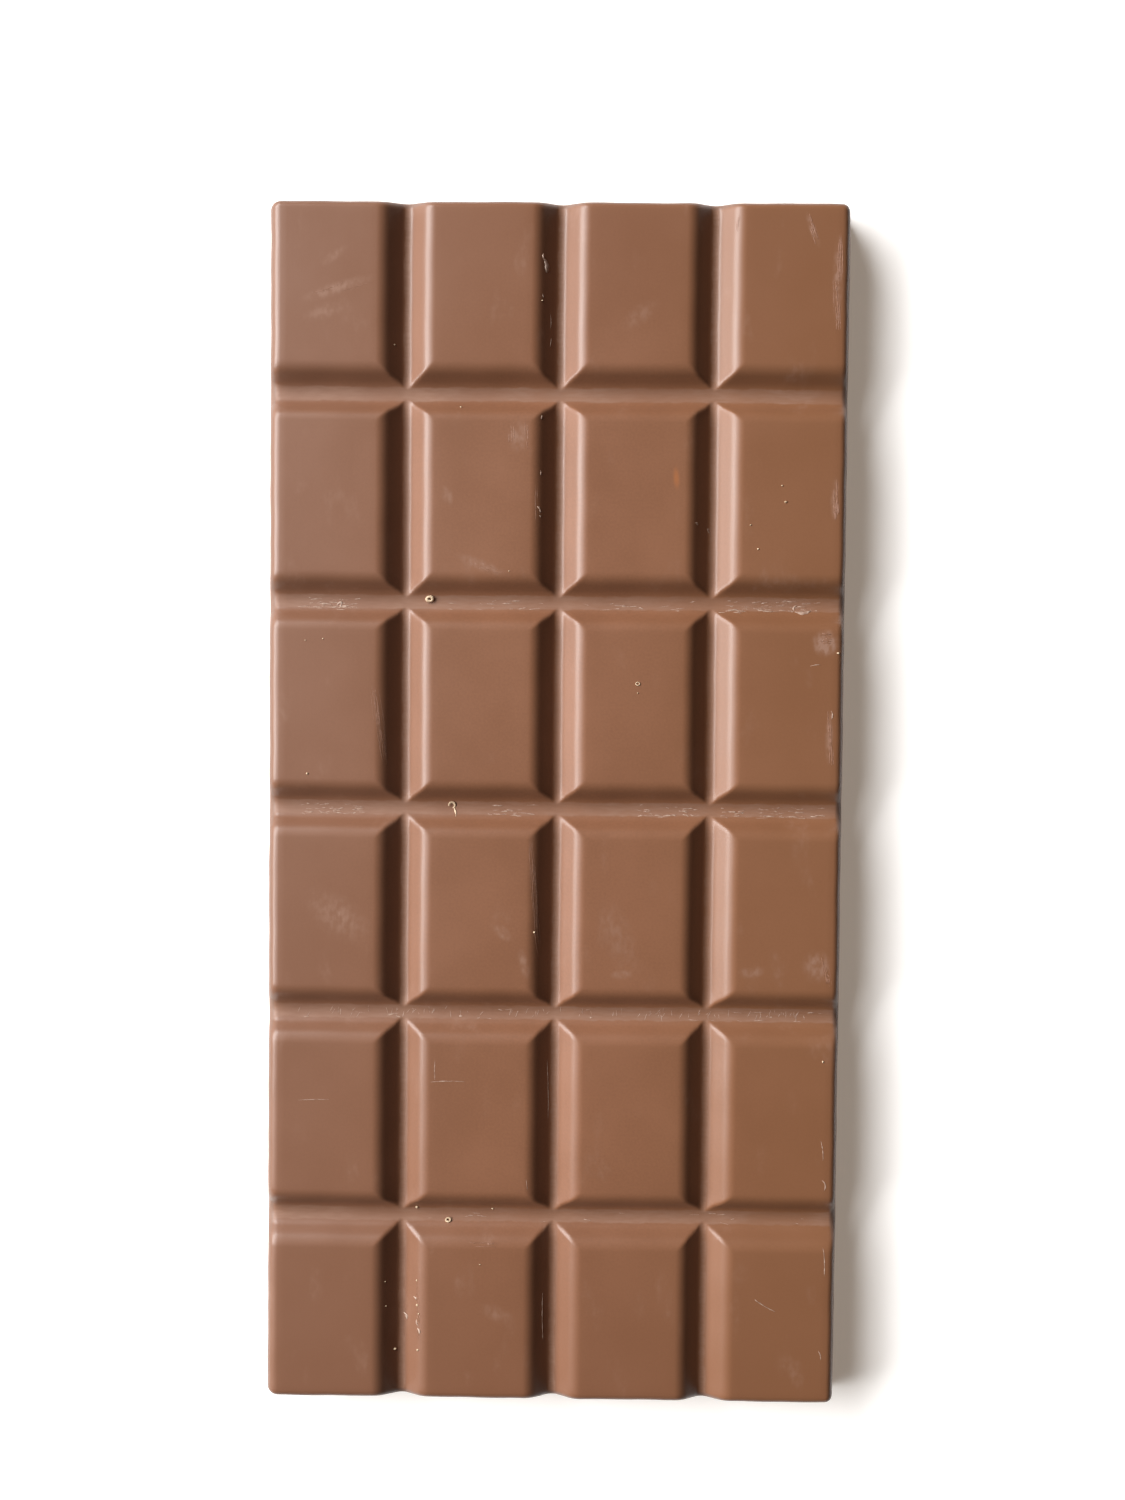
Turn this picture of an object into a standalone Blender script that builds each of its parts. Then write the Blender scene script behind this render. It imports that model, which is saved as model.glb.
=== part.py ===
"""A plain moulded chocolate tablet: four columns by six rows of pieces with V grooves between them.

Metres, +Z up. The flat back, which was the open side of the mould, lies on z = 0 around the origin.
The tablet's long side runs along Y and its short side along X.
"""

from math import cos, pi, radians, sin, tan
from typing import NamedTuple

import bmesh
import bpy


class GrooveSection(NamedTuple):
    width: float  # between the flats on its two sides
    wall_angle: float
    shoulder_radius: float  # where a piece's flat top turns down into the groove
    valley_radius: float  # the rounded bottom


LENGTH = 0.1600  # along Y, measured on the back
WIDTH = 0.0778  # along X, measured on the back
THICKNESS = 0.0072
DRAFT_ANGLE = radians(12)  # lean of the outer walls, which lets the tablet leave its mould
EDGE_RADIUS = 0.0011  # round of the top rim and of the four upright corners
EDGE_STEPS = 5

COLUMNS = 4
ROWS = 6
COLUMN_PITCH = 0.0201  # between the grooves that run along Y; the outer columns get the rest
ROW_PITCH = 0.02716  # between the grooves that run along X; the end rows get the rest

LENGTHWISE_GROOVE = GrooveSection(0.00775, radians(40), 0.0026, 0.00115)
CROSSWISE_GROOVE = GrooveSection(0.00785, radians(49), 0.00225, 0.0021)
SHOULDER_STEPS = 5
VALLEY_STEPS = 6
CUTTER_MARGIN = 0.002  # how far a cutter reaches past the tablet

CHOCOLATE_COLOUR = (0.188, 0.08, 0.04, 1.0)
CHOCOLATE_ROUGHNESS = 0.38


def clear_scene():
    for existing in list(bpy.data.objects):
        bpy.data.objects.remove(existing, do_unlink=True)


def chocolate_material():
    material = bpy.data.materials.new("milk_chocolate")
    material.use_nodes = True
    shader = material.node_tree.nodes["Principled BSDF"]
    shader.inputs["Base Color"].default_value = CHOCOLATE_COLOUR
    shader.inputs["Roughness"].default_value = CHOCOLATE_ROUGHNESS
    shader.inputs["Metallic"].default_value = 0.0
    return material


def object_from_bmesh(name, mesh_builder):
    """Turns a bmesh into a linked object with its faces pointing out."""
    bmesh.ops.recalc_face_normals(mesh_builder, faces=mesh_builder.faces)
    mesh = bpy.data.meshes.new(name)
    mesh_builder.to_mesh(mesh)
    mesh_builder.free()
    made = bpy.data.objects.new(name, mesh)
    bpy.context.scene.collection.objects.link(made)
    return made


def drafted_slab():
    """The tablet before its grooves: a slab that narrows upwards, with round corners and a round rim."""
    slab = bmesh.new()
    bmesh.ops.create_cube(slab, size=1.0)
    inset = THICKNESS * tan(DRAFT_ANGLE)
    for corner in slab.verts:
        is_top = corner.co.z > 0
        lean = inset if is_top else 0.0
        corner.co.x *= WIDTH - 2 * lean
        corner.co.y *= LENGTH - 2 * lean
        corner.co.z = THICKNESS if is_top else 0.0
    rounded_edges = [edge for edge in slab.edges if any(corner.co.z > 0 for corner in edge.verts)]
    bmesh.ops.bevel(
        slab,
        geom=rounded_edges,
        offset=EDGE_RADIUS,
        segments=EDGE_STEPS,
        profile=0.5,
        affect="EDGES",
    )
    return object_from_bmesh("chocolate_bar", slab)


def groove_half_profile(section):
    """(sideways, height) points from the groove's middle up to the flat, valley and shoulder as arcs."""
    angle = section.wall_angle
    half_width = section.width / 2
    both_radii = section.shoulder_radius + section.valley_radius
    straight_run = half_width - both_radii * sin(angle)
    depth = both_radii * (1 - cos(angle)) + straight_run * tan(angle)
    floor = THICKNESS - depth
    points = []
    for step in range(VALLEY_STEPS // 2 + 1):
        turn = angle * step / (VALLEY_STEPS // 2)
        points.append((section.valley_radius * sin(turn), floor + section.valley_radius * (1 - cos(turn))))
    for step in range(SHOULDER_STEPS):
        turn = angle * (1 - step / SHOULDER_STEPS)
        points.append(
            (
                half_width - section.shoulder_radius * sin(turn),
                THICKNESS - section.shoulder_radius * (1 - cos(turn)),
            )
        )
    # The last facet runs on in its own line, through the flat, so that it meets the top at an angle.
    last_slope = tan(angle / SHOULDER_STEPS / 2)
    points.append((half_width + CUTTER_MARGIN, THICKNESS + CUTTER_MARGIN * last_slope))
    return points


def groove_cutter(name, section, run_length):
    """A prism along Y with the groove's outline, closed by a lid above the tablet."""
    half = groove_half_profile(section)
    outline = [(-sideways, height) for sideways, height in reversed(half[1:])] + half
    lid_height = THICKNESS + CUTTER_MARGIN
    outline.append((half[-1][0], lid_height))
    outline.insert(0, (-half[-1][0], lid_height))
    reach = run_length / 2 + CUTTER_MARGIN
    prism = bmesh.new()
    ring = [prism.verts.new((sideways, -reach, height)) for sideways, height in outline]
    end_face = prism.faces.new(ring)
    pushed = bmesh.ops.extrude_face_region(prism, geom=[end_face])
    far_ring = [item for item in pushed["geom"] if isinstance(item, bmesh.types.BMVert)]
    bmesh.ops.translate(prism, verts=far_ring, vec=(0.0, 2 * reach, 0.0))
    cutter = object_from_bmesh(name, prism)
    cutter.hide_render = True
    cutter.display_type = "WIRE"
    return cutter


def centred_places(count, pitch):
    """Places of the grooves between `count` pieces, centred on zero."""
    return [(index - (count - 2) / 2) * pitch for index in range(count - 1)]


def cut_groove(tablet, cutter):
    cut = tablet.modifiers.new("cut_" + cutter.name, "BOOLEAN")
    cut.operation = "DIFFERENCE"
    cut.solver = "EXACT"
    cut.object = cutter


def build_tablet():
    tablet = drafted_slab()
    tablet.data.materials.append(chocolate_material())
    for index, place in enumerate(centred_places(COLUMNS, COLUMN_PITCH)):
        lengthwise = groove_cutter(f"lengthwise_cutter_{index + 1}", LENGTHWISE_GROOVE, LENGTH)
        lengthwise.location.x = place
        cut_groove(tablet, lengthwise)
    for index, place in enumerate(centred_places(ROWS, ROW_PITCH)):
        crosswise = groove_cutter(f"crosswise_cutter_{index + 1}", CROSSWISE_GROOVE, WIDTH)
        crosswise.rotation_euler.z = pi / 2
        crosswise.location.y = place
        cut_groove(tablet, crosswise)


clear_scene()
build_tablet()
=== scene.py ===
"""The looks of a plain milk chocolate tablet: worn surface, chocolate, crumbs, and a pale studio.

Metres, +Z up, in the CAD model's frame: the tablet's flat back lies on z = 0, with its long side along Y.
"""

from math import cos, pi, radians, sin, tan
from typing import NamedTuple

import bmesh
import bpy
import numpy as np
from mathutils import Euler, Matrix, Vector


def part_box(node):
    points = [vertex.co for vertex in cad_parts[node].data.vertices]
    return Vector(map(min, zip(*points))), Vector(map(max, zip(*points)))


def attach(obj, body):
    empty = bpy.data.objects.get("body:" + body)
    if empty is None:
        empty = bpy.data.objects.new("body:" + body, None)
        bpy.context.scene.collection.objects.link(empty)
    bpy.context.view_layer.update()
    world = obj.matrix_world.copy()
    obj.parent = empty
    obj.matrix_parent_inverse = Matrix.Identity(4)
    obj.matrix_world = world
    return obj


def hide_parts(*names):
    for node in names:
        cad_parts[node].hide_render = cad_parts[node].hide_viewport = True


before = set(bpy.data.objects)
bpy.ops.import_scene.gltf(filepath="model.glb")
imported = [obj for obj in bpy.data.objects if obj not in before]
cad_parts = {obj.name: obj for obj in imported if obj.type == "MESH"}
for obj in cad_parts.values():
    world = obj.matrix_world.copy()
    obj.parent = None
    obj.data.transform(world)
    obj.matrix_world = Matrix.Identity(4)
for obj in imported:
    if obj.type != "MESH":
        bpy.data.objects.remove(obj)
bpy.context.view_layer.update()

MM = 0.001


class GrooveSection(NamedTuple):
    width: float  # between the flats on its two sides
    wall_angle: float
    shoulder_radius: float  # where a piece's flat top turns down into the groove
    valley_radius: float  # the rounded bottom

    def depth(self):
        both_radii = self.shoulder_radius + self.valley_radius
        run = self.width / 2 - both_radii * sin(self.wall_angle)
        return both_radii * (1 - cos(self.wall_angle)) + run * tan(self.wall_angle)

    def depth_at(self, distance):
        """Depth below the flat at a distance from the middle: valley arc, straight wall, shoulder arc."""
        half_width = self.width / 2
        away = np.minimum(np.abs(distance), half_width)
        valley_end = self.valley_radius * sin(self.wall_angle)
        shoulder_start = half_width - self.shoulder_radius * sin(self.wall_angle)
        in_valley = np.minimum(away, valley_end)
        valley = self.depth() - self.valley_radius + np.sqrt(self.valley_radius**2 - in_valley**2)
        wall_top = self.depth() - self.valley_radius * (1 - cos(self.wall_angle))
        wall = wall_top - (away - valley_end) * tan(self.wall_angle)
        from_flat = np.minimum(half_width - away, half_width - shoulder_start)
        shoulder = self.shoulder_radius - np.sqrt(self.shoulder_radius**2 - from_flat**2)
        return np.where(away < valley_end, valley, np.where(away < shoulder_start, wall, shoulder))


# The tablet's shape, as the CAD model has it.
BACK_CORNER, TOP_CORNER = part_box("chocolate_bar")
WIDTH, LENGTH, THICKNESS = TOP_CORNER - BACK_CORNER
DRAFT_ANGLE = radians(12)
EDGE_RADIUS = 1.1 * MM
COLUMNS, ROWS = 4, 6
COLUMN_PITCH, ROW_PITCH = 20.1 * MM, 27.16 * MM
LENGTHWISE = GrooveSection(7.75 * MM, radians(40), 2.6 * MM, 1.15 * MM)
CROSSWISE = GrooveSection(7.85 * MM, radians(49), 2.25 * MM, 2.1 * MM)

# What moulding and handling add to that shape.
GRID_DRIFT = Vector((0.24 * MM, -0.2 * MM))  # the grooves lie a little off the tablet's middle
LEFT_EDGE_RADIUS = 1.6 * MM  # the rim is worn rounder along this side
RIM_UNEVENNESS = 0.05 * MM
BACK_DISH = 0.12 * MM  # the poured back sinks a little inside its edge
BACK_RIPPLE = 0.03 * MM
GROOVE_WANDER = 0.06 * MM
MITRE_SOFTNESS = 0.45 * MM
FLARE_REACH = 3 * MM  # how far inside the rim a groove starts to follow the drafted side outward

# How fine the surface is made.
EDGE_STEPS = 6
VALLEY_STEP, WALL_STEP, FLAT_STEP = 0.16 * MM, 0.24 * MM, 0.8 * MM
SIDE_RINGS = 6
BACK_EDGE_RADIUS = 0.3 * MM
BACK_EDGE_STEPS = 3
BACK_RING_SCALES = (0.985, 0.965, 0.94, 0.9, 0.84, 0.77, 0.69, 0.6, 0.5, 0.4, 0.3, 0.2, 0.1)


def groove_places(count, pitch, drift):
    return np.array([(index - (count - 2) / 2) * pitch + drift for index in range(count - 1)])


COLUMN_GROOVES = groove_places(COLUMNS, COLUMN_PITCH, GRID_DRIFT.x)
ROW_GROOVES = groove_places(ROWS, ROW_PITCH, GRID_DRIFT.y)


def nearest_groove(places, at, wander):
    """Distance to the nearest groove whose middle wanders a little along its run."""
    distance = np.full(np.broadcast(at, wander).shape, 1.0)
    for place in places:
        candidate = at - place - wander
        distance = np.where(np.abs(candidate) < np.abs(distance), candidate, distance)
    return distance


def waves(along, amplitude, lengths, seed):
    """A smooth uneven line: a few sine waves with seeded phases."""
    chance = np.random.default_rng(seed)
    total = np.zeros_like(along)
    for length in lengths:
        total = total + np.sin(2 * pi * along / length + chance.uniform(0, 2 * pi))
    return total * amplitude / len(lengths)


def carved_depth(x, y):
    """How far the grooves lower the top at x, y. Where two grooves meet, their walls mitre softly."""
    column_wander = waves(y, GROOVE_WANDER, (90 * MM, 41 * MM, 9 * MM), 3)
    row_wander = waves(x, GROOVE_WANDER, (60 * MM, 27 * MM, 8 * MM), 4)
    lengthwise = LENGTHWISE.depth_at(nearest_groove(COLUMN_GROOVES, x, column_wander))
    crosswise = CROSSWISE.depth_at(nearest_groove(ROW_GROOVES, y, row_wander))
    deeper = np.maximum(lengthwise, crosswise)
    shallower = np.minimum(lengthwise, crosswise)
    full_depth = LENGTHWISE.depth()
    softness = (
        MITRE_SOFTNESS
        * np.clip(2 * deeper / full_depth, 0, 1)
        * np.clip(3 * (1 - shallower / full_depth), 0, 1)
    )
    overlap = np.clip(softness - (deeper - shallower), 0, None)
    return deeper + overlap**2 / (4 * np.maximum(softness, 1e-9))


def core_lines(first, last, grooves, section):
    """Grid lines from first to last: dense in the grooves, sparse on the flats."""
    lines = []
    reached = first
    valley_reach = section.valley_radius
    for groove in grooves:
        start, end = groove - section.width / 2, groove + section.width / 2
        stretches = (
            (reached, start, FLAT_STEP),
            (start, groove - valley_reach, WALL_STEP),
            (groove - valley_reach, groove + valley_reach, VALLEY_STEP),
            (groove + valley_reach, end, WALL_STEP),
        )
        for stretch_start, stretch_end, step in stretches:
            count = max(1, round((stretch_end - stretch_start) / step))
            lines.extend(np.linspace(stretch_start, stretch_end, count, endpoint=False))
        reached = end
    count = max(1, round((last - reached) / FLAT_STEP))
    lines.extend(np.linspace(reached, last, count + 1))
    return np.array(lines)


def with_border(core):
    """Adds the round rim's lines at both ends: place on the core, rim step (0 to EDGE_STEPS), side."""
    steps = np.arange(1, EDGE_STEPS + 1)
    place = np.concatenate([np.full(EDGE_STEPS, core[0]), core, np.full(EDGE_STEPS, core[-1])])
    rim_step = np.concatenate([steps[::-1], np.zeros(len(core), int), steps])
    side = np.concatenate([-np.ones(EDGE_STEPS), np.zeros(len(core)), np.ones(EDGE_STEPS)])
    return place, rim_step, side


def rim_inset(radius):
    """How far inside the back's outline the flat top ends."""
    return (THICKNESS - radius) * tan(DRAFT_ANGLE) + radius / cos(DRAFT_ANGLE)


def tablet_top():
    """Grids of x, y, z over the moulded top and its round rim, and which way each point faces outward."""
    left = rim_inset(LEFT_EDGE_RADIUS) - WIDTH / 2
    right = WIDTH / 2 - rim_inset(EDGE_RADIUS)
    end = LENGTH / 2 - rim_inset(EDGE_RADIUS)
    x_line, x_step, x_side = with_border(core_lines(left, right, COLUMN_GROOVES, LENGTHWISE))
    y_line, y_step, y_side = with_border(core_lines(-end, end, ROW_GROOVES, CROSSWISE))
    x, y = np.meshgrid(x_line, y_line, indexing="ij")
    step_x, step_y = np.meshgrid(x_step, y_step, indexing="ij")
    side_x, side_y = np.meshgrid(x_side, y_side, indexing="ij")

    # The rim turns from the flat down to the drafted side; at a corner it also turns round.
    step = np.maximum(step_x, step_y)
    other = np.minimum(step_x, step_y)
    turn = (pi / 4) * other / np.maximum(step, 1)
    toward_x = np.where(step_x >= step_y, np.cos(turn), np.sin(turn)) * side_x
    toward_y = np.where(step_x >= step_y, np.sin(turn), np.cos(turn)) * side_y
    lift = pi / 2 - (pi / 2 - DRAFT_ANGLE) * step / EDGE_STEPS
    radius_x = np.where(side_x < 0, LEFT_EDGE_RADIUS, EDGE_RADIUS)
    radius = radius_x * toward_x**2 + EDGE_RADIUS * toward_y**2
    uneven = waves(x + y, RIM_UNEVENNESS, (31 * MM, 13 * MM, 6 * MM), 5)

    depth = carved_depth(x, y)
    # A carved groove meets the drafted side lower down, where the tablet is wider.
    near_x = np.clip(1 - np.minimum(right - x, x - left) / FLARE_REACH, 0, 1) * np.sign(x)
    near_y = np.clip(1 - (end - np.abs(y)) / FLARE_REACH, 0, 1) * np.sign(y)
    x = x + toward_x * (radius_x * np.cos(lift) + uneven) + near_x * depth * tan(DRAFT_ANGLE)
    y = y + toward_y * (EDGE_RADIUS * np.cos(lift) + uneven) + near_y * depth * tan(DRAFT_ANGLE)
    z = THICKNESS - depth - radius * (1 - np.sin(lift))
    return x, y, z, toward_x, toward_y


def back_height(x, y):
    """The poured back: flat at its edge, sunk a little and gently rippled inside it."""
    from_edge = np.minimum(WIDTH / 2 - np.abs(x), LENGTH / 2 - np.abs(y))
    inside = np.clip(from_edge / (6 * MM), 0, 1) ** 2
    ripples = waves(x + 0.3 * y, BACK_RIPPLE, (23 * MM, 9 * MM), 6)
    ripples = ripples + waves(y, BACK_RIPPLE, (37 * MM, 14 * MM), 7)
    return inside * (BACK_DISH * 0.5 + np.clip(BACK_DISH * 0.5 + ripples, 0, None))


def tablet_surface():
    """Vertices and faces of the whole tablet: moulded top, round rim, drafted sides and back."""
    x, y, z, toward_x, toward_y = tablet_top()
    columns, rows = x.shape
    index = np.arange(columns * rows).reshape(columns, rows)
    corners = [index[:-1, :-1], index[1:, :-1], index[1:, 1:], index[:-1, 1:]]
    top_faces = np.stack(corners, axis=-1).reshape(-1, 4)
    border = np.concatenate([index[:-1, 0], index[-1, :-1], index[:0:-1, -1], index[0, :0:-1]])

    top = np.stack([x, y, z], axis=-1).reshape(-1, 3)
    rim = top[border]
    outward = np.stack([toward_x, toward_y], axis=-1).reshape(-1, 2)[border]
    side_rings = []
    for level in np.linspace(0, 1, SIDE_RINGS + 1)[1:]:
        height = rim[:, 2] * (1 - level) + BACK_EDGE_RADIUS * level
        reach = (rim[:, 2] - height) * tan(DRAFT_ANGLE)
        side_rings.append(np.column_stack([rim[:, :2] + outward * reach[:, None], height]))
    foot = side_rings[-1]
    for level in range(1, BACK_EDGE_STEPS + 1):
        bend = (pi / 2) * level / BACK_EDGE_STEPS
        height = np.full(len(rim), BACK_EDGE_RADIUS * (1 - sin(bend)))
        plan = foot[:, :2] - outward * BACK_EDGE_RADIUS * (1 - cos(bend))
        side_rings.append(np.column_stack([plan, height]))
    back_edge = side_rings[-1]
    for scale in BACK_RING_SCALES:
        plan = back_edge[:, :2] * scale
        side_rings.append(np.column_stack([plan, back_height(plan[:, 0], plan[:, 1])]))

    middle = np.array([[0.0, 0.0, back_height(0.0, 0.0)]])
    points = np.concatenate([top, *side_rings, middle])
    ring_starts = len(top) + len(rim) * np.arange(len(side_rings))
    rings = [border, *(np.arange(start, start + len(rim)) for start in ring_starts)]
    ring_faces = [
        np.stack([above, below, np.roll(below, -1), np.roll(above, -1)], axis=-1)
        for above, below in zip(rings, rings[1:])
    ]
    last_ring = rings[-1]
    middle_fan = np.stack(
        [last_ring, np.full(len(last_ring), len(points) - 1), np.roll(last_ring, -1)], axis=-1
    )
    faces = [*top_faces.tolist(), *np.concatenate(ring_faces).tolist(), *middle_fan.tolist()]
    return points, faces


def surface_height(x, y):
    return THICKNESS - carved_depth(x, y)


def surface_normal(x, y):
    nudge = 0.05 * MM
    slope_x = (surface_height(x + nudge, y) - surface_height(x - nudge, y)) / (2 * nudge)
    slope_y = (surface_height(x, y + nudge) - surface_height(x, y - nudge)) / (2 * nudge)
    normal = np.stack([-slope_x, -slope_y, np.ones_like(slope_x)], axis=-1)
    return normal / np.linalg.norm(normal, axis=-1, keepdims=True)


SLIVER_SIDES = 6


def sliver(x, y, half_width, half_height, rise=0.0, looped=False):
    """A small closed solid along a path on the tablet, lens-shaped across and pointed at its ends."""
    up = surface_normal(x, y)
    path = np.stack([x, y, surface_height(x, y)], axis=-1) + up * np.broadcast_to(rise, x.shape)[:, None]
    if looped:
        along = np.roll(path, -1, axis=0) - np.roll(path, 1, axis=0)
        taper = np.ones(len(path))
    else:
        along = np.gradient(path, axis=0)
        place = np.linspace(-1, 1, len(path))
        taper = np.sqrt(np.clip(1 - place**2, 0.03, 1))
    side = np.cross(along, up)
    side = side / np.linalg.norm(side, axis=-1, keepdims=True)
    angles = 2 * pi * np.arange(SLIVER_SIDES) / SLIVER_SIDES
    across = (taper * half_width)[:, None, None] * np.cos(angles)[None, :, None] * side[:, None]
    upward = (taper * half_height)[:, None, None] * np.sin(angles)[None, :, None] * up[:, None]
    points = (path[:, None] + across + upward).reshape(-1, 3)

    index = np.arange(len(points)).reshape(len(path), SLIVER_SIDES)
    near, far = (index, np.roll(index, -1, axis=0)) if looped else (index[:-1], index[1:])
    around = [near, far, np.roll(far, -1, axis=1), np.roll(near, -1, axis=1)]
    faces = np.stack(around, axis=-1).reshape(-1, 4).tolist()
    if not looped:
        faces += [index[0].tolist(), index[-1][::-1].tolist()]
    return points, faces


def stroke(chance, start, end, half_width, half_height=0.02 * MM, bow=0.0, raggedness=0.3):
    """A sliver from start to end (millimetres), bowed to one side, with a ragged width."""
    start, end = np.array(start) * MM, np.array(end) * MM
    length = np.linalg.norm(end - start)
    count = int(np.clip(length / (0.25 * MM), 5, 40))
    place = np.linspace(0, 1, count)
    direction = (end - start) / length
    bend = bow * length * 4 * place * (1 - place) + chance.normal(0, 0.012 * MM, count)
    x = start[0] + (end[0] - start[0]) * place - direction[1] * bend
    y = start[1] + (end[1] - start[1]) * place + direction[0] * bend
    widths = half_width * np.clip(1 + raggedness * chance.normal(0, 1, count), 0.3, 2)
    return sliver(x, y, widths, half_height)


def bundle(chance, start, end, spread, count, half_width):
    """Parallel fine strokes of uneven length between start and end (millimetres)."""
    start, end = np.array(start), np.array(end)
    direction = (end - start) / np.linalg.norm(end - start)
    sideways = np.array([-direction[1], direction[0]])
    strokes = []
    for _ in range(count):
        first = chance.uniform(0, 0.7)
        last = first + chance.uniform(0.15, 1 - first)
        shift = sideways * chance.normal(0, spread / 2)
        width = half_width * chance.uniform(0.5, 1.3)
        strokes.append(
            stroke(
                chance,
                start + (end - start) * first + shift,
                start + (end - start) * last + shift,
                width,
                half_height=0.012 * MM,
                bow=chance.uniform(-0.04, 0.04),
            )
        )
    return strokes


def crumb(chance, x, y, size):
    """A tiny lump (size in metres) half sunk in the surface at x, y (millimetres)."""
    lump = bmesh.new()
    bmesh.ops.create_icosphere(lump, subdivisions=2, radius=size / 2)
    points = np.array([vertex.co for vertex in lump.verts])
    faces = [[vertex.index for vertex in face.verts] for face in lump.faces]
    lump.free()
    stretch = np.array([chance.uniform(0.8, 1.3), chance.uniform(0.7, 1.1), 0.7])
    points = points * stretch * (1 + 0.12 * chance.normal(0, 1, (len(points), 1)))
    place = np.array([x, y]) * MM
    points = points + [place[0], place[1], surface_height(place[0], place[1]) + size * 0.12]
    return points, faces


def ring_crumb(x, y, radius, thickness):
    """A crumb like a small ring, tilted by the surface it lies on; centre in millimetres."""
    angles = 2 * pi * np.arange(18) / 18
    ring_x = x * MM + radius * 1.15 * np.cos(angles)
    ring_y = y * MM + radius * 0.9 * np.sin(angles)
    uneven = 1 + 0.2 * np.sin(2 * angles + 0.5)
    return sliver(ring_x, ring_y, thickness * uneven, thickness, rise=thickness * 0.8, looped=True)


def curl(x, y, radius, turn_from, turn_to, half_width):
    """A curled shaving that stands up a little; centre in millimetres, angles in degrees."""
    angles = np.radians(np.linspace(turn_from, turn_to, 16))
    lifted = np.linspace(0, 1, 16) * radius * 0.6
    curl_x = x * MM + radius * np.cos(angles)
    curl_y = y * MM + radius * np.sin(angles)
    return sliver(curl_x, curl_y, np.full(16, half_width), 0.04 * MM, rise=lifted)


def joined(solids):
    """Many small solids as the points and faces of one mesh."""
    points, faces, made = [], [], 0
    for solid_points, solid_faces in solids:
        points.append(solid_points)
        faces.extend([corner + made for corner in face] for face in solid_faces)
        made += len(solid_points)
    return np.concatenate(points), faces


# Scuffed stretches on the crosswise grooves' floors: groove counted from the tablet's far end, from and to
# along X in millimetres, and how many scuffs.
SCUFFED_FLOORS = (
    (2, -33.5, -26.0, 40),
    (2, -15.0, 0.0, 14),
    (2, 3.0, 18.0, 14),
    (2, 21.0, 34.5, 44),
    (3, -34.0, -25.5, 34),
    (3, -9.0, -2.5, 20),
    (3, 11.0, 19.0, 26),
    (3, 22.0, 36.0, 40),
    (4, -34.0, 36.0, 24),
    (5, -31.0, 34.0, 14),
)


SCUFF_LINES = (-0.75, -0.7, -0.2, 0.3)  # where they gather, across the floor in millimetres


def floor_scuffs():
    """Pale flakes that lie along the near side of the crosswise grooves' floors."""
    chance = np.random.default_rng(11)
    scuffs = []
    for groove, first, last, count in SCUFFED_FLOORS:
        middle = ROW_GROOVES[ROWS - 1 - groove] / MM
        for _ in range(count):
            x = chance.uniform(first, last)
            y = middle + chance.choice(SCUFF_LINES) + chance.normal(0, 0.12)
            length = chance.uniform(0.3, 1.6)
            lean = chance.normal(0, 0.12)
            half_width = chance.uniform(0.02, 0.055) * MM
            ends = (x - length / 2, y - lean / 2), (x + length / 2, y + lean / 2)
            scuffs.append(stroke(chance, *ends, half_width, half_height=0.016 * MM, raggedness=0.5))
    return scuffs


def crossing_scuffs():
    """Short scuffs across the fourth groove's floor, as if something had been drawn over it."""
    chance = np.random.default_rng(12)
    middle = ROW_GROOVES[1] / MM
    scuffs = []
    for x in chance.uniform(-34, 36, 90):
        y = middle + chance.normal(0, 0.25)
        reach = chance.uniform(0.15, 0.5)
        lean = chance.uniform(-0.1, 0.25)
        scuffs.append(stroke(chance, (x - lean, y - reach), (x + lean, y + reach), 0.025 * MM))
    return scuffs


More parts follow.
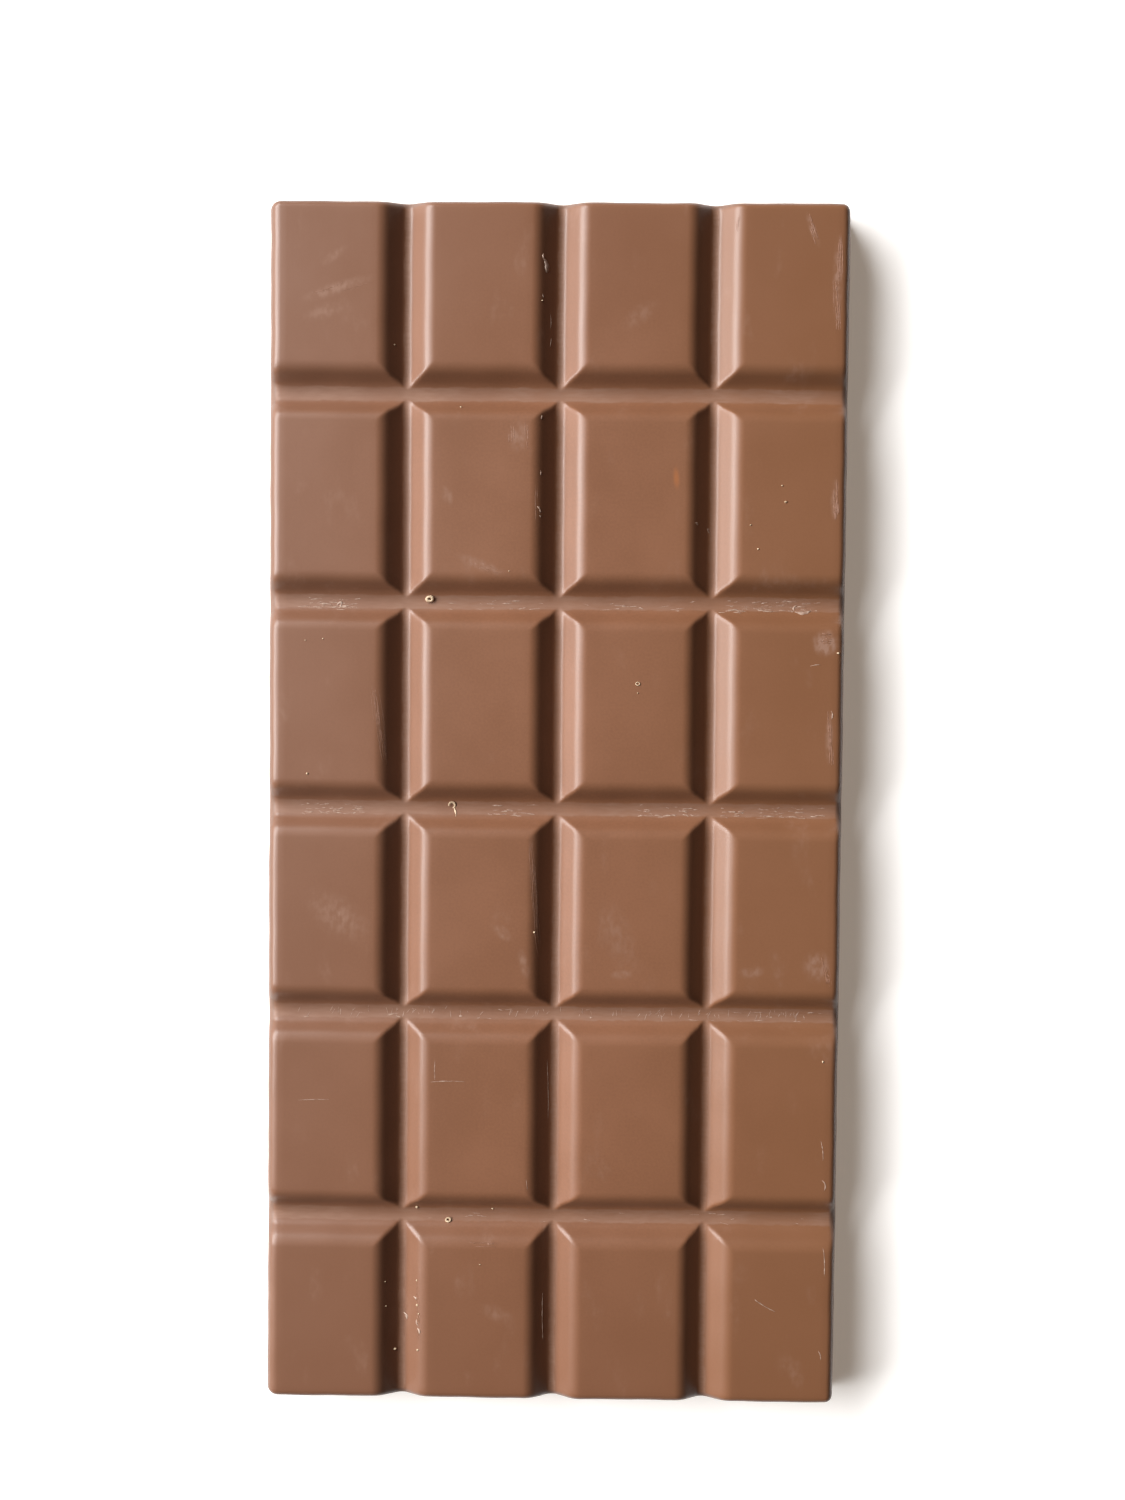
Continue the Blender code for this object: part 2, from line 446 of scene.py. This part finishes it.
# Places below are in millimetres from the tablet's middle.
FLAKES = (  # from, to, half width, bow
    ((-1.9, 71.3), (-1.7, 69.6), 0.38, 0.12),
    ((-2.1, 72.0), (-1.6, 71.0), 0.13, -0.2),
    ((-2.2, 66.8), (-2.0, 66.3), 0.07, 0.0),
    ((-1.2, 64.6), (-1.1, 62.6), 0.04, 0.05),
    ((-1.0, 61.4), (-1.1, 60.2), 0.05, 0.0),
    ((-2.1, 51.2), (-2.2, 50.6), 0.1, 0.1),
    ((-2.2, 44.0), (-2.2, 43.4), 0.09, 0.1),
    ((-2.6, 39.3), (-2.2, 38.5), 0.13, 0.2),
    ((-2.3, 38.2), (-2.1, 37.9), 0.09, 0.1),
    ((-29.0, 26.4), (-28.2, 26.8), 0.17, 0.2),
    ((-28.6, 26.2), (-28.5, 27.0), 0.10, -0.2),
    ((-31.3, 26.6), (-29.6, 26.4), 0.08, 0.1),
    ((31.3, 26.1), (33.4, 26.2), 0.24, -0.12),
    ((31.2, 26.2), (31.7, 26.9), 0.12, 0.3),
    ((22.5, 26.2), (25.0, 26.0), 0.08, 0.05),
    ((26.4, 26.3), (28.6, 26.1), 0.07, -0.05),
    ((17.9, 37.4), (18.4, 37.1), 0.15, 0.2),
    ((19.8, 36.9), (20.0, 36.3), 0.13, -0.2),
    ((-19.6, -67.9), (-19.2, -68.8), 0.25, 0.2),
    ((-18.2, -65.3), (-17.7, -65.5), 0.15, 0.1),
    ((-17.7, -68.2), (-17.4, -69.0), 0.2, -0.2),
    ((-17.6, -69.3), (-17.3, -70.0), 0.2, 0.2),
    ((33.1, 18.9), (34.5, 19.1), 0.04, 0.05),
    ((35.9, 13.1), (36.0, 12.0), 0.10, 0.1),
    ((-0.7, -33.4), (-0.5, -41.4), 0.055, 0.01),
    ((-1.0, -64.8), (-0.9, -71.2), 0.075, -0.01),
    ((-3.3, -49.0), (-3.1, -50.4), 0.04, 0.0),
    ((35.6, -48.6), (35.9, -50.0), 0.07, 0.25),
    ((35.4, -43.4), (35.7, -46.0), 0.05, 0.05),
    ((35.9, -57.6), (36.1, -61.4), 0.05, 0.03),
    ((27.0, -64.6), (29.8, -66.2), 0.04, -0.03),
    ((35.5, -71.4), (35.8, -72.6), 0.05, 0.1),
    ((-33.4, -38.8), (-29.2, -38.7), 0.035, 0.01),
    ((-16.0, -36.2), (-11.4, -36.1), 0.04, 0.02),
    ((-15.4, -33.3), (-15.4, -36.0), 0.035, -0.02),
)

DOTS = (  # x, y, size
    (-12.7, 52.3, 0.22),
    (-2.2, 65.9, 0.2),
    (-17.9, -53.6, 0.35),
    (-2.5, -16.3, 0.28),
    (-20.7, -72.7, 0.34),
    (-17.7, -62.9, 0.26),
    (-17.6, -66.2, 0.3),
    (-17.4, -67.3, 0.24),
    (-17.5, -72.2, 0.3),
    (-21.9, -63.2, 0.2),
    (-21.8, -66.5, 0.18),
    (-9.3, -60.4, 0.18),
    (-7.8, -53.7, 0.26),
    (29.1, 42.2, 0.24),
    (29.6, 40.1, 0.3),
    (25.1, 37.1, 0.22),
    (26.1, 34.0, 0.26),
    (-32.7, 21.7, 0.2),
    (-30.4, 21.9, 0.16),
    (-32.4, 4.3, 0.24),
    (36.7, 20.6, 0.3),
    (35.5, -32.9, 0.26),
    (-21.4, 60.3, 0.2),
    (10.7, 15.2, 0.18),
    (-6.2, 30.9, 0.16),
)

SCRATCHED = (  # from, to, spread across, strokes, half width
    ((-33.8, 65.6), (-23.6, 68.8), 0.8, 3, 0.03),
    ((-6.0, 50.2), (-5.7, 46.2), 0.7, 4, 0.035),
    ((-4.2, 50.4), (-4.0, 46.4), 0.6, 3, 0.035),
    ((-12.8, 33.0), (-6.0, 30.2), 0.8, 3, 0.03),
    ((-2.9, 43.0), (-2.6, 36.0), 0.3, 4, 0.03),
    ((31.8, 77.0), (33.4, 72.8), 0.35, 8, 0.06),
    ((35.9, 74.6), (36.1, 68.2), 0.4, 12, 0.05),
    ((35.8, 69.2), (36.2, 62.0), 0.5, 10, 0.045),
    ((36.0, 43.4), (36.3, 37.6), 0.4, 12, 0.06),
    ((33.4, 22.4), (36.2, 22.0), 0.9, 10, 0.05),
    ((35.6, 13.2), (36.0, 5.8), 0.35, 12, 0.045),
    ((-23.6, 16.0), (-22.2, 5.0), 0.5, 20, 0.03),
    ((-3.2, -2.6), (-1.8, -20.2), 0.25, 18, 0.03),
    ((-17.6, -62.6), (-17.4, -72.0), 0.25, 12, 0.045),
    ((23.1, 77.0), (22.9, 74.8), 0.3, 8, 0.05),
    ((-10.8, -57.6), (-6.8, -57.7), 0.4, 12, 0.03),
    ((35.4, -19.0), (36.2, -23.5), 0.5, 12, 0.05),
)

PALE_PATCHES = (  # middle, half size, turn in degrees, strength: where handling has left the surface dull
    ((-29.1, 71.4), (2.6, 0.8), 35, 0.56),
    ((-28.8, 67.2), (5.8, 1.1), 18, 0.63),
    ((-30.5, 64.2), (3.5, 1.3), 15, 0.49),
    ((-5.0, 48.3), (2.0, 2.6), 0, 0.7),
    ((-14.3, 40.6), (1.0, 1.6), 20, 0.7),
    ((-9.5, 31.5), (4.5, 1.0), -22, 0.7),
    ((32.6, 75.0), (2.8, 0.6), -69, 0.98),
    ((35.9, 68.5), (0.9, 6.8), 0, 0.98),
    ((36.0, 40.5), (0.8, 3.4), 0, 1.12),
    ((35.0, 21.9), (2.1, 2.1), 0, 2.2),
    ((35.7, 9.5), (0.7, 4.2), 0, 0.98),
    ((-28.4, -14.3), (6.2, 3.2), -35, 0.56),
    ((-6.7, -16.3), (1.9, 1.0), -45, 0.84),
    ((-3.8, -20.5), (0.9, 2.5), 15, 0.84),
    ((8.6, -17.0), (2.6, 6.5), 20, 0.42),
    ((9.0, -21.7), (1.8, 0.8), 5, 0.84),
    ((34.6, -20.4), (2.4, 2.6), 0, 0.98),
    ((26.0, -21.2), (2.4, 1.0), 10, 0.7),
    ((-7.0, -67.0), (3.0, 1.4), -25, 0.49),
    ((10.5, 64.0), (3.5, 1.6), 35, 0.42),
)

# A single smear, in the same form.
ORANGE_SMEAR = (((15.4, 43.1), (0.6, 1.9), 4, 0.6),)


def shavings():
    """The pale flakes and hard scratches that catch the eye."""
    chance = np.random.default_rng(13)
    solids = floor_scuffs() + crossing_scuffs()
    for start, end, half_width, bow in FLAKES:
        height = min(half_width * 0.5, 0.06) * MM
        solids.append(stroke(chance, start, end, half_width * MM, height, bow, raggedness=0.35))
    return solids


def crumbs():
    """Specks, three ring-shaped crumbs and a curled one with its tail."""
    chance = np.random.default_rng(14)
    solids = [crumb(chance, x, y, size * MM) for x, y, size in DOTS]
    solids.append(ring_crumb(-16.7, 27.4, 0.33 * MM, 0.2 * MM))
    solids.append(ring_crumb(-13.7, -55.3, 0.26 * MM, 0.12 * MM))
    solids.append(curl(-13.6, 0.2, 0.4 * MM, -80, 200, 0.16 * MM))
    solids.append(stroke(chance, (-13.4, -0.1), (-13.1, -1.3), 0.13 * MM, half_height=0.07 * MM, bow=0.1))
    solids.append(ring_crumb(10.7, 16.4, 0.22 * MM, 0.06 * MM))
    return solids


def fine_scratches():
    """Bundles of strokes hardly lighter than the chocolate."""
    chance = np.random.default_rng(15)
    solids = []
    for start, end, spread, count, half_width in SCRATCHED:
        solids += bundle(chance, start, end, spread, count, half_width * MM)
    return solids


def mesh_piece(name, points, faces, material):
    mesh = bpy.data.meshes.new(name)
    mesh.from_pydata([tuple(point) for point in points], [], faces)
    mesh.validate()
    mesh.update()
    mesh.shade_smooth()
    mesh.materials.append(material)
    piece = bpy.data.objects.new(name, mesh)
    bpy.context.scene.collection.objects.link(piece)
    return piece


def add_node(tree, kind, inputs, **settings):
    """A node with its settings and inputs; an input is a plain value or another node's output."""
    node = tree.nodes.new(kind)
    for setting, value in settings.items():
        setattr(node, setting, value)
    for socket, value in inputs.items():
        if isinstance(value, bpy.types.NodeSocket):
            tree.links.new(value, node.inputs[socket])
        else:
            node.inputs[socket].default_value = value
    return node


def noise(tree, place, stretch, scale, detail):
    """Noise from 0 to 1; `stretch` squeezes it along each axis."""
    squeezed = add_node(tree, "ShaderNodeMapping", {"Vector": place, "Scale": stretch})
    settings = {"Vector": squeezed.outputs["Vector"], "Scale": scale, "Detail": detail}
    return add_node(tree, "ShaderNodeTexNoise", settings).outputs["Fac"]


def remap(tree, value, start, end, low=0.0, high=1.0):
    """Takes start..end smoothly to low..high and holds it there outside."""
    inputs = {"Value": value, "From Min": start, "From Max": end, "To Min": low, "To Max": high}
    return add_node(tree, "ShaderNodeMapRange", inputs, interpolation_type="SMOOTHSTEP").outputs["Result"]


def multiply(tree, first, second):
    return add_node(tree, "ShaderNodeMath", {0: first, 1: second}, operation="MULTIPLY").outputs[0]


def add(tree, first, second):
    return add_node(tree, "ShaderNodeMath", {0: first, 1: second}, operation="ADD").outputs[0]


def coordinate(tree, vector, axis):
    return add_node(tree, "ShaderNodeSeparateXYZ", {"Vector": vector}).outputs[axis]


def blend_colours(tree, amount, first, second):
    """Colours sit in sockets 6 and 7 of a mix node, and its colour comes out of socket 2."""
    inputs = {0: amount, 6: first, 7: second}
    return add_node(tree, "ShaderNodeMix", inputs, data_type="RGBA").outputs[2]


def new_material(name):
    material = bpy.data.materials.new(name)
    material.use_nodes = True
    tree = material.node_tree
    place = add_node(tree, "ShaderNodeTexCoord", {}).outputs["Object"]
    return material, tree, tree.nodes["Principled BSDF"], place


MILK_CHOCOLATE = (0.188, 0.08, 0.0405, 1)
# Painted shade: a darker chocolate for the end rows, where less light falls.
END_ROW_PAINTED_SHADE = (0.164, 0.07, 0.036, 1)
# Painted sheen: the left columns greyer, as if veiled by the window's reflection; the right columns
# warmer, with less of it.
LEFT_COLUMN_PAINTED_SHEEN = (0.173, 0.0805, 0.0475, 1)
RIGHT_COLUMN_LESS_PAINTED_SHEEN = (0.184, 0.0785, 0.0345, 1)
# Painted shade for the outer walls and the lower half of the rim.
OUTER_WALL_PAINTED_SHADE = (0.15, 0.085, 0.06, 1)
RUBBED_CHOCOLATE = (0.218, 0.112, 0.07, 1)
POURED_CHOCOLATE = (0.21, 0.095, 0.055, 1)
PALE_HAZE = (0.255, 0.14, 0.095, 1)
ORANGE = (0.32, 0.11, 0.035, 1)
PAINTED_LIGHT_TINT = 0.6  # how far the chocolate goes toward each painted shade or sheen colour
EVEN = (1, 1, 1)


def groove_floor_mask(tree, place):
    """1 on the crosswise grooves' floors, which lie deeper than all else that faces up."""
    floor = THICKNESS - CROSSWISE.depth()
    uneven = remap(tree, noise(tree, place, EVEN, 700, 2), 0.3, 0.7, -0.04 * MM, 0.04 * MM)
    height = add(tree, coordinate(tree, place, "Z"), uneven)
    low = remap(tree, height, floor + 0.24 * MM, floor + 0.16 * MM)
    facing = add_node(tree, "ShaderNodeNewGeometry", {}).outputs["Normal"]
    return multiply(tree, low, remap(tree, coordinate(tree, facing, "Z"), 0.5, 0.6))


def back_mask(tree, place):
    return remap(tree, coordinate(tree, place, "Z"), 0.5 * MM, 0.25 * MM)


def from_middle(tree, place, axis):
    """How far a point lies from the tablet's middle along one axis."""
    along = coordinate(tree, place, axis)
    return add_node(tree, "ShaderNodeMath", {0: along}, operation="ABSOLUTE").outputs[0]


def outer_wall_shade_mask(tree, place):
    """1 on the outer walls and the lower half of the rim's round, where painted shade darkens the
    chocolate.
    """
    beside = add(tree, from_middle(tree, place, "X"), -WIDTH / 2)
    beyond = add(tree, from_middle(tree, place, "Y"), -LENGTH / 2)
    out = add_node(tree, "ShaderNodeMath", {0: beside, 1: beyond}, operation="MAXIMUM").outputs[0]
    return remap(tree, out, -1.9 * MM, -1.6 * MM)


def patches(tree, place, table):
    """Strongest in the middle of each patch of a table, fading out to its edge."""
    amount = 0.0
    for middle, half_size, turn, strength in table:
        inputs = {
            "Vector": place,
            "Location": (middle[0] * MM, middle[1] * MM, 0),
            "Rotation": (0, 0, radians(turn)),
            "Scale": (half_size[0] * MM, half_size[1] * MM, 1),
        }
        inside = add_node(tree, "ShaderNodeMapping", inputs, vector_type="TEXTURE").outputs["Vector"]
        reach = add_node(tree, "ShaderNodeVectorMath", {0: inside}, operation="LENGTH").outputs["Value"]
        amount = add(tree, remap(tree, reach, 1.0, 0.1, 0.0, strength), amount)
    return amount


def colour_with_painted_shade_and_sheen(tree, place, clouds, grain):
    """Cloudy milk chocolate, with painted shade toward the end rows and a painted sheen that makes the
    left greyer and the right warmer.
    """
    dark = tuple(0.93 * part for part in MILK_CHOCOLATE[:3]) + (1,)
    light = tuple(1.08 * part for part in MILK_CHOCOLATE[:3]) + (1,)
    tone = add(tree, multiply(tree, clouds, 0.6), multiply(tree, grain, 0.5))
    colour = blend_colours(tree, remap(tree, tone, 0.35, 0.75), dark, light)
    # Painted shade: darker toward the end rows.
    end_row_shade = remap(tree, from_middle(tree, place, "Y"), 46 * MM, 78 * MM, 0.0, PAINTED_LIGHT_TINT)
    colour = blend_colours(tree, end_row_shade, colour, END_ROW_PAINTED_SHADE)
    # Painted sheen: greyer toward the left, warmer toward the right, as the window's reflection falls.
    across = coordinate(tree, place, "X")
    left = remap(tree, across, -5 * MM, -36 * MM, 0.0, PAINTED_LIGHT_TINT)
    right = remap(tree, across, 5 * MM, 36 * MM, 0.0, PAINTED_LIGHT_TINT)
    colour = blend_colours(tree, left, colour, LEFT_COLUMN_PAINTED_SHEEN)
    return blend_colours(tree, right, colour, RIGHT_COLUMN_LESS_PAINTED_SHEEN)


def haze_amount(tree, place):
    """How strongly a thin pale haze veils the chocolate: faint smears all over, and handled patches."""
    smears = remap(tree, noise(tree, place, (1, 0.45, 1), 260, 5), 0.58, 0.76)
    patchy = remap(tree, noise(tree, place, (1, 0.6, 1), 1500, 4), 0.36, 0.7, 0.2, 1.0)
    veil = add(tree, multiply(tree, smears, 0.35), patches(tree, place, PALE_PATCHES))
    return multiply(tree, veil, patchy)


def fine_relief(tree, place, grain, rubbed, floor, back):
    """Grain, mould marks and ripples, with rubbed groove floors and a rippled, pitted back."""
    brushed = noise(tree, place, (1, 0.05, 1), 2200, 2)
    ripples = multiply(tree, noise(tree, place, EVEN, 320, 3), multiply(tree, back, 6.0))
    pores = add_node(tree, "ShaderNodeTexVoronoi", {"Vector": place, "Scale": 420.0}).outputs["Distance"]
    pits = multiply(tree, remap(tree, pores, 0.02, 0.16), multiply(tree, back, 3.0))
    relief = add(tree, multiply(tree, grain, 0.5), multiply(tree, brushed, 0.35))
    relief = add(tree, relief, multiply(tree, multiply(tree, rubbed, floor), 2.5))
    relief = add(tree, relief, multiply(tree, noise(tree, place, EVEN, 500, 2), 1.2))
    return add(tree, relief, add(tree, ripples, pits))


def chocolate_material():
    """Milk chocolate: cloudy colour, fine grain, pale haze, rubbed groove floors and a duller back, with
    painted shade on the end rows and outer walls and a painted sheen across the columns.
    """
    material, tree, shader, place = new_material("milk_chocolate")
    clouds = noise(tree, place, EVEN, 90, 3)
    grain = noise(tree, place, EVEN, 3200, 2)
    rubbed = noise(tree, place, (0.18, 1, 1), 3000, 3)
    floor = groove_floor_mask(tree, place)
    back = back_mask(tree, place)
    haze = haze_amount(tree, place)

    colour = colour_with_painted_shade_and_sheen(tree, place, clouds, grain)
    colour = blend_colours(tree, haze, colour, PALE_HAZE)
    colour = blend_colours(tree, patches(tree, place, ORANGE_SMEAR), colour, ORANGE)
    worn = remap(tree, noise(tree, place, (1, 0.2, 0.2), 110, 2), 0.35, 0.6, 0.4, 1.0)
    rubbing = multiply(tree, multiply(tree, floor, worn), remap(tree, rubbed, 0.3, 0.7, 0.5, 1.0))
    colour = blend_colours(tree, rubbing, colour, RUBBED_CHOCOLATE)
    colour = blend_colours(tree, multiply(tree, back, 0.5), colour, POURED_CHOCOLATE)
    # Painted shade: the outer walls and the rim's lower round are darkened and greyed.
    outer_shade = multiply(tree, outer_wall_shade_mask(tree, place), PAINTED_LIGHT_TINT)
    colour = blend_colours(tree, outer_shade, colour, OUTER_WALL_PAINTED_SHADE)
    tree.links.new(colour, shader.inputs["Base Color"])
    shader.inputs["Specular IOR Level"].default_value = 0.45
    shader.inputs["Coat Weight"].default_value = 0.07
    shader.inputs["Coat Roughness"].default_value = 0.14

    dulled = add(tree, multiply(tree, floor, 0.16), multiply(tree, back, 0.12))
    roughness = add(tree, remap(tree, clouds, 0.3, 0.7, 0.39, 0.44), dulled)
    roughness = add(tree, roughness, multiply(tree, haze, 0.06))
    tree.links.new(roughness, shader.inputs["Roughness"])

    relief = fine_relief(tree, place, grain, rubbed, floor, back)
    bump_inputs = {"Strength": 1.0, "Distance": 0.006 * MM, "Height": relief}
    bump = add_node(tree, "ShaderNodeBump", bump_inputs)
    tree.links.new(bump.outputs["Normal"], shader.inputs["Normal"])
    return material


def pale_chocolate(name, dark, light, roughness):
    """Scraped chocolate, which is paler than moulded chocolate because its surface is broken up."""
    material, tree, shader, place = new_material(name)
    mottle = noise(tree, place, EVEN, 2600, 3)
    colour = blend_colours(tree, remap(tree, mottle, 0.35, 0.65), dark, light)
    tree.links.new(colour, shader.inputs["Base Color"])
    shader.inputs["Roughness"].default_value = roughness
    bump = add_node(tree, "ShaderNodeBump", {"Strength": 0.6, "Distance": 0.02 * MM, "Height": mottle})
    tree.links.new(bump.outputs["Normal"], shader.inputs["Normal"])
    return material


def studio():
    scene = bpy.context.scene
    scene.view_settings.view_transform = "Standard"
    world = bpy.data.worlds.new("room")
    world.use_nodes = True
    background = world.node_tree.nodes["Background"]
    background.inputs["Color"].default_value = (0.95, 0.97, 1.0, 1)
    background.inputs["Strength"].default_value = 0.012
    scene.world = world

    floor_mesh = bpy.data.meshes.new("floor")
    reach = 1.5
    corners = [(-reach, -reach, 0), (reach, -reach, 0), (reach, reach, 0), (-reach, reach, 0)]
    floor_mesh.from_pydata(corners, [], [(0, 1, 2, 3)])
    floor = bpy.data.objects.new("floor", floor_mesh)
    scene.collection.objects.link(floor)
    paper = bpy.data.materials.new("glowing_white_paper")
    paper.use_nodes = True
    shader = paper.node_tree.nodes["Principled BSDF"]
    shader.inputs["Base Color"].default_value = (0.9, 0.9, 0.9, 1)
    shader.inputs["Roughness"].default_value = 0.9
    # Painted light: the paper glows faintly and warmly, lightening and warming the tablet's shadow on it.
    shader.inputs["Emission Color"].default_value = (1.0, 0.83, 0.68, 1)
    shader.inputs["Emission Strength"].default_value = 0.27
    floor_mesh.materials.append(paper)

    add_softbox("window", azimuth=157, elevation=32, distance=1.2, size=(1.75, 0.5), power=45.5)
    add_softbox("upper_window", azimuth=170, elevation=54, distance=1.0, size=(0.9, 0.25), power=3.5)


def add_softbox(name, azimuth, elevation, distance, size, power):
    """A rectangular light aimed at the tablet's middle; angles in degrees, azimuth from +X toward +Y."""
    lamp = bpy.data.lights.new(name, "AREA")
    lamp.shape = "RECTANGLE"
    lamp.size, lamp.size_y = size
    lamp.energy = power
    softbox = bpy.data.objects.new(name, lamp)
    softbox.location = distance * Vector(
        (
            cos(radians(elevation)) * cos(radians(azimuth)),
            cos(radians(elevation)) * sin(radians(azimuth)),
            sin(radians(elevation)),
        )
    )
    softbox.rotation_euler = (-softbox.location).to_track_quat("-Z", "Y").to_euler()
    bpy.context.scene.collection.objects.link(softbox)


def camera():
    view = bpy.data.cameras.new("camera")
    view.lens = 31
    height_above_top = 168.47 * MM
    eye = bpy.data.objects.new("camera", view)
    eye.location = (2.62 * MM, 12.49 * MM, THICKNESS + height_above_top)
    eye.rotation_euler = Euler((radians(-1.631), radians(0.574), radians(0.537)), "XYZ")
    bpy.context.scene.collection.objects.link(eye)
    bpy.context.scene.camera = eye


def add_piece(name, solids, material):
    """A piece that lies on the tablet and belongs to it."""
    piece = mesh_piece(name, *joined(solids), material)
    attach(piece, "root")


tablet = mesh_piece("tablet", *tablet_surface(), chocolate_material())
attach(tablet, "root")
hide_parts("chocolate_bar")
scraped = pale_chocolate("scraped_chocolate", (0.26, 0.16, 0.115, 1), (0.42, 0.30, 0.235, 1), 0.45)
smeared = pale_chocolate("smeared_chocolate", (0.19, 0.086, 0.046, 1), (0.25, 0.125, 0.08, 1), 0.4)
crumbled = pale_chocolate("crumbled_wafer", (0.42, 0.30, 0.19, 1), (0.66, 0.50, 0.34, 1), 0.6)
add_piece("shavings", shavings(), scraped)
add_piece("crumbs", crumbs(), crumbled)
add_piece("fine_scratches", fine_scratches(), smeared)
studio()
camera()
